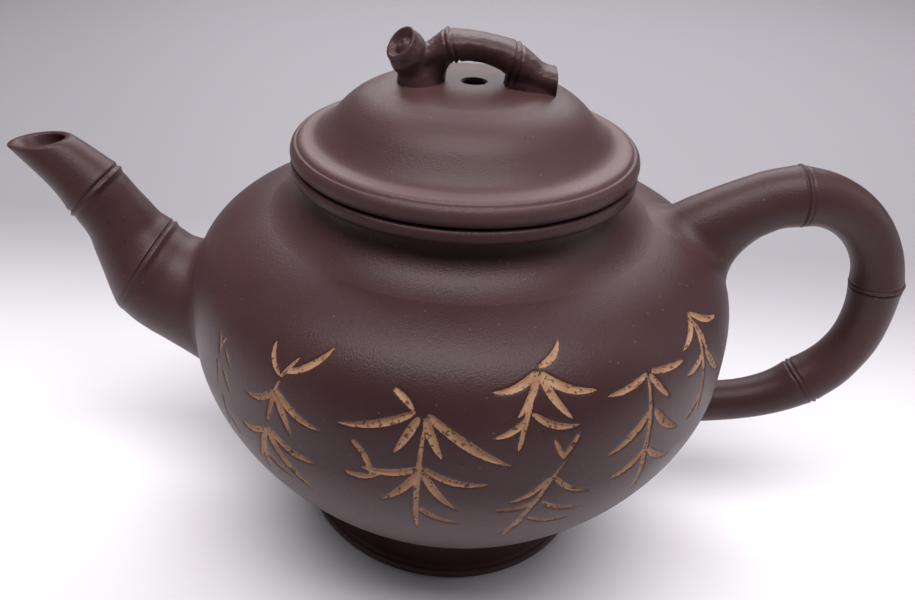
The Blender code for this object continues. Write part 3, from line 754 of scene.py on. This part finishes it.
outer, rings = bamboo(SPOUT_LINE, 88, crease, cut_tilt=SPOUT_CUT_TILT, faded=SPOUT_FADED_X)
shell = luted_root(outer, SPOUT_FILLET, SPOUT_SPREAD)
heart = outer.mean(axis=1, keepdims=True)
size = np.array([ring[0][2] for ring in rings])[:, None, None]
lifts = np.array([ring[3] for ring in rings])[:, None, None]
plain = heart + (outer - heart) * size / (size + lifts)          # the tube without its nodes
bore = heart + (plain - heart) * np.clip(1 - SPOUT_WALL / size, 0.1, 1)
deepest = next(k for k in range(len(outer)) if steepness(heart[k, 0])[0] < -0.02)   # the bore's end
along = rings[0][1]
tip = np.array([along[0], 0.0, along[1]])
lip = []
for t in np.linspace(0, math.pi, 9)[1:-1]:
    share = 1 - SPOUT_WALL / size[0, 0, 0] * (1 - math.cos(t)) / 2
    lip.append(heart[0] + (plain[0] - heart[0]) * share - tip * SPOUT_LIP * math.sin(t))
mesh_piece("spout_clay", np.concatenate([bore[:deepest][::-1], np.array(lip[::-1]), shell]), plain_clay,
           "pot", "spout", join_rows=True)

# ---- handle ---------------------------------------------------------------------------------
# A rolled length of clay bent into a loop and tooled as bamboo with three nodes, luted to the
# shoulder and to the lower belly, and smoothed out at both roots.
HANDLE_LINE = [(34.0, 54.0, 8.4), (41.0, 62.2, 8.0), (46.6, 68.0, 7.2), (51.5, 71.8, 6.4),
               (55.6, 74.4, 5.95), (59.6, 76.4, 5.75), (64.1, 77.5, 5.7, 2.0), (68.2, 77.1, 5.3),
               (72.6, 75.4, 4.9), (76.5, 72.5, 4.6), (79.6, 68.7, 4.45), (81.8, 64.4, 4.45),
               (83.1, 59.8, 4.55, 0.0), (83.5, 53.0, 4.35), (82.9, 46.9, 4.35), (81.2, 42.1, 4.45),
               (78.9, 38.3, 4.7), (75.4, 34.7, 4.85, 0.0), (72.0, 32.0, 4.6), (68.2, 29.9, 4.4),
               (63.3, 28.2, 4.3), (57.0, 27.0, 4.4), (50.4, 26.3, 4.6), (40.0, 26.2, 5.0),
               (30.0, 27.0, 5.0)]


def double_crease(gap):
    """A handle node: a swelling with a fine ridge between two scored lines."""
    return (0.28 * math.exp(-abs(gap) / 1.5) - 0.26 * math.exp(-((gap + 0.5) / 0.2) ** 2)
            - 0.26 * math.exp(-((gap - 0.5) / 0.2) ** 2))


HANDLE_SIDES = 72
UPPER_FILLET, LOWER_FILLET = 3.6, 2.6
loop, _ = bamboo(HANDLE_LINE, HANDLE_SIDES, double_crease)
half = len(loop) // 2
under = np.clip(-np.sin(np.linspace(0, 2 * math.pi, HANDLE_SIDES, endpoint=False)), 0, 1)
upper = luted_root(loop[:half + 1][::-1], UPPER_FILLET + 6.0 * under, UPPER_FILLET + 4.4 * under)
lower = luted_root(loop[half:], LOWER_FILLET, LOWER_FILLET)
mesh_piece("handle_clay", np.concatenate([upper[::-1], lower[1:]]), plain_clay, "pot", "handle")

# ---- lid ------------------------------------------------------------------------------------
# A domed disc beaten over a mould. Its edge is a rolled line, then a scored groove, then a
# band that sweeps up into the dome; a steam hole is pierced under the knob.
LID_T = 3.0
VENT_R, VENT_X, VENT_EASE = 2.15, 1.5, 0.35
HIGHLIGHT_BAND = (28.6, 31.4)  # radii between which the lid's flare is painted paler, a painted highlight
TONGUE_R, TONGUE_T, TONGUE_DEPTH = 26.15, 2.2, 7.0
lid_z = ring_z + RING_H + JOINT
LID_SHAPE = [(17.0, 95.50), (19.0, 94.75), (21.0, 93.65), (23.0, 92.05), (24.6, 90.30), (25.9, 88.90),
             (27.1, 87.85), (28.3, 87.20), (29.5, 86.9), (30.6, 86.74), (31.28, 86.48), (31.55, 86.12),
             (31.76, 85.93), (31.97, 86.00), (32.3, 85.89), (32.75, 85.3), (33.0, 84.5), (33.0, 83.8),
             (32.75, 83.15), (32.1, 82.75), (31.3, 82.7)]
CROWN_Z = 96.85
crown = [(r, CROWN_Z - 0.62 * (r / 14.0) ** 2.6) for r in (0.0, 1.5, 3.0, 5.0, 7.0, 9.0, 11.0, 13.0, 15.0)]
lid_top = through([(r, z, 0.0) for r, z in crown + LID_SHAPE], 5)[::-1, :2]


def dome_z(r):
    """Height of the lid's upper face."""
    return np.interp(r, lid_top[::-1, 0][:100], lid_top[::-1, 1][:100])


lid_rim = lid_z + 1.4
vault_r = TONGUE_R - TONGUE_T - 0.2
vault = [(vault_r * math.sin(t), lid_rim + (float(dome_z(0.0)) - LID_T - lid_rim) * math.cos(t) ** 0.72)
         for t in np.linspace(0.0, math.pi / 2 - 1e-6, 16)]
lid_outline = [tuple(p) for p in lid_top] + vault + [(vault_r, lid_z)]


def pierce(obj):
    """Cut the steam hole and ease its edge."""
    shape = bmesh.new()
    top, sides = float(dome_z(0)), 48
    ring = [[shape.verts.new(((AXIS_X + VENT_X + r * math.cos(t)) * MM, r * math.sin(t) * MM, z * MM))
             for t in np.linspace(0, 2 * math.pi, sides, endpoint=False)]
            for r, z in ((VENT_R, lid_z), (VENT_R, top - VENT_EASE), (VENT_R + VENT_EASE, top + 0.02),
                         (VENT_R + 0.9, top + 1.5))]
    for low, high in zip(ring, ring[1:]):
        for k in range(sides):
            shape.faces.new((low[k], low[(k + 1) % sides], high[(k + 1) % sides], high[k]))
    shape.faces.new(ring[0][::-1])
    shape.faces.new(ring[-1])
    mesh = bpy.data.meshes.new("steam_drill")
    shape.to_mesh(mesh)
    shape.free()
    mesh.materials.append(obj.data.materials[0])
    cut_out(obj, new_object("steam_drill", mesh))


# The lid's clay carries a painted highlight on its flare band.
lid_clay = fired_clay("fired_clay_highlit_flare", rings=0.2, highlight_radii=HIGHLIGHT_BAND, paler_by=0.6)
mesh_piece("lid_dome_clay", turned(lid_outline), lid_clay, "lid", "lid_dome", join_rows=True, edit=pierce)

# ---- lid tongue -----------------------------------------------------------------------------
# The ring under the lid that drops into the mouth and keeps the lid in place while pouring.
# It is left unburnished, since it rubs in the neck.
tongue_top = lid_z + 0.2
tongue_low = lid_z - JOINT - TONGUE_DEPTH
tongue_in = TONGUE_R - TONGUE_T
tongue = (arc(TONGUE_R - 0.6, tongue_low + 0.6, 0.6, -90, 0, 6)
          + [(TONGUE_R, tongue_top), (tongue_in, tongue_top)]
          + arc(tongue_in + 0.5, tongue_low + 0.5, 0.5, 180, 270, 6))
mesh_piece("lid_tongue_clay", turned(tongue), raw_clay, "lid", "lid_tongue", join_rows=True)

# ---- knob -----------------------------------------------------------------------------------
# A cut bamboo stump with a branch arched over to the far side of the lid, pressed from one
# roll of clay. The stump shows its growth ring, the branch two nodes and a sawn end.
TOP_Z = float(dome_z(0.0))
STUMP_CUT = Vector((-12.1, -2.2, 103.9))
STUMP_FACES = Vector((-0.62, -0.44, 0.64)).normalized()
STUMP_R = 3.25
BRANCH_LINE = [(-9.0, 100.6, 2.9), (-6.8, 101.4, 2.55), (-5.0, 102.4, 2.6), (-3.0, 103.5, 2.9, 14.0),
               (1.6, 103.4, 2.7), (5.6, 102.5, 2.75), (8.8, 101.1, 3.0, 22.0),
               (11.6, 98.9, 2.8), (14.0, 97.9, 2.75), (19.0, 96.9, 2.75)]
BRANCH_WIDE = 1.5           # across over height
BRANCH_END_X = 16.2         # where the branch is sawn off
NODE_LIFT = 1.7             # the knob's nodes are bolder than the handle's
THUMB_MARKS = 0.10          # unevenness of the pressed clay
KNOB_VOXEL = 0.24


def closed_loft(rings):
    """A capped skin over rings of points, as a bmesh in metres round the pot's axis."""
    shape = bmesh.new()
    rows = [[shape.verts.new((Vector(p) + Vector((AXIS_X, 0.0, 0.0))) * MM) for p in ring] for ring in rings]
    for a, b in zip(rows, rows[1:]):
        for k in range(len(a)):
            shape.faces.new((a[k], a[(k + 1) % len(a)], b[(k + 1) % len(a)], b[k]))
    shape.faces.new(rows[0][::-1])
    shape.faces.new(rows[-1])
    bmesh.ops.recalc_face_normals(shape, faces=shape.faces)
    return shape


def oval(x, y, z, rx, ry, facing=(0.0, 0.0, 1.0), power=2.0, count=44):
    """An oval ring of points, level or turned to face a direction; a high power squares it."""
    turn = Vector((0.0, 0.0, 1.0)).rotation_difference(Vector(facing))
    ring = []
    for t in np.linspace(0, 2 * math.pi, count, endpoint=False):
        c, s = math.cos(t), math.sin(t)
        swell = (abs(c) ** power + abs(s) ** power) ** (-1.0 / power)
        ring.append(Vector((x, y, z)) + turn @ Vector((rx * c * swell, ry * s * swell, 0.0)))
    return ring


stump_rings = []
for share in np.linspace(0.0, 1.0, 16):
    ease = share * share * (3 - 2 * share)
    centre = (Vector((-8.0, 0.0, TOP_Z - 1.6)).lerp(STUMP_CUT, share)
              + Vector((0.5, 0.2, 0.0)) * math.sin(math.pi * share))
    flare = 1.3 * math.exp(-share * 9.0)
    waist = -0.35 * math.exp(-((share - 0.50) / 0.14) ** 2) + 0.35 * math.exp(-((share - 0.80) / 0.10) ** 2)
    facing = Vector((0, 0, 1)).lerp(STUMP_FACES, ease).normalized()
    wide = STUMP_R + 0.9 * (1 - share) + flare + waist
    stump_rings.append(oval(*centre, wide, STUMP_R + 0.5 + 0.9 * (1 - share) + flare + waist, facing))
branch_rings, branch_marks = bamboo(BRANCH_LINE, 40, lambda gap: 0.0, wide=BRANCH_WIDE, spacing=0.6)
for row, mark in zip(branch_rings, branch_marks):
    _, height, radius = mark[0]
    up = (row[:, 2] - height) / radius
    row[:, 2] -= np.clip(up - 0.72, 0, 1) * radius * 0.5          # the top is flattened by the thumb
    row[:, 1] *= 1 + 0.10 * np.clip(1 - abs(up - 0.45) / 0.5, 0, 1)
foot_rings = [oval(12.0, 0.0, TOP_Z - 2.6 + 5.0 * s, 5.4 - 0.9 * s + 0.7 * math.exp(-s * 7),
                   4.5 - 0.9 * s + 0.9 * math.exp(-s * 7), power=2.6) for s in np.linspace(0, 1, 10)]
saddle_rings = [oval(-7.6 + 3.6 * s ** 2.2, 0.0, TOP_Z - 1.0 + 6.8 * s, 3.9 - 1.3 * s, 4.3 - 1.2 * s)
                for s in np.linspace(0, 1, 10)]

parts = bmesh.new()
for part in (stump_rings, branch_rings, foot_rings, saddle_rings):
    piece = closed_loft(part)
    mesh = bpy.data.meshes.new("part")
    piece.to_mesh(mesh)
    piece.free()
    parts.from_mesh(mesh)
    bpy.data.meshes.remove(mesh)
mesh = bpy.data.meshes.new("knob_clay")
parts.to_mesh(mesh)
parts.free()
knob = new_object("knob_clay", mesh)
melt = knob.modifiers.new("melt", "REMESH")
melt.mode, melt.voxel_size, melt.adaptivity = "VOXEL", KNOB_VOXEL * MM, 0.0
ease = knob.modifiers.new("ease", "SMOOTH")
ease.factor, ease.iterations = 0.5, 16
mesh = settle(knob)

points = of_vertices(mesh, "co") / MM - [AXIS_X, 0.0, 0.0]
normals = of_vertices(mesh, "normal")
points[:, 0] = np.minimum(points[:, 0], BRANCH_END_X)
lift = np.zeros(len(points))
for k, point in enumerate(BRANCH_LINE):
    if len(point) < 4:
        continue
    x, z, radius = point[:3]
    chord = np.subtract(BRANCH_LINE[k + 1][:2], BRANCH_LINE[k - 1][:2])
    turned_to = swung(chord / np.linalg.norm(chord), point[3])
    along = np.array([turned_to[0], 0.0, turned_to[1]])
    gap = (points - [x, 0.0, z]) @ along
    off = np.linalg.norm((points - [x, 0.0, z]) - gap[:, None] * along, axis=1)
    crease_lift = NODE_LIFT * np.array([double_crease(g) for g in gap])
    lift += np.where(off < radius * BRANCH_WIDE + 1.0, crease_lift, 0.0)
centre = np.array(STUMP_CUT)
facing = np.array(STUMP_FACES)
gap = (points - centre) @ facing
off = np.linalg.norm((points - centre) - gap[:, None] * facing, axis=1)
face = (abs(gap) < 1.2) & (normals @ facing > 0.4) & (off < 3.6)
# On the stump's cut face: a pressed ring, the rim raised round it and a dot of pith.
lift += np.where(face, -0.75 * np.exp(-((off - 1.75) / 0.62) ** 2) + 0.25 * np.exp(-((off - 3.0) / 0.5) ** 2)
                 - 0.3 * np.exp(-(off / 0.45) ** 2), 0.0)
uneven = np.array([noise.noise(Vector(p) * 0.45) + 0.5 * noise.noise(Vector(p) * 1.3) for p in points])
points += normals * (lift + THUMB_MARKS * uneven)[:, None]
mesh.vertices.foreach_set("co", ((points + [AXIS_X, 0.0, 0.0]) * MM).ravel())
mesh.update()
mesh.shade_smooth()
mesh.materials.clear()
mesh.materials.append(plain_clay)
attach(knob, "lid")
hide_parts("knob_stump", "knob_branch")
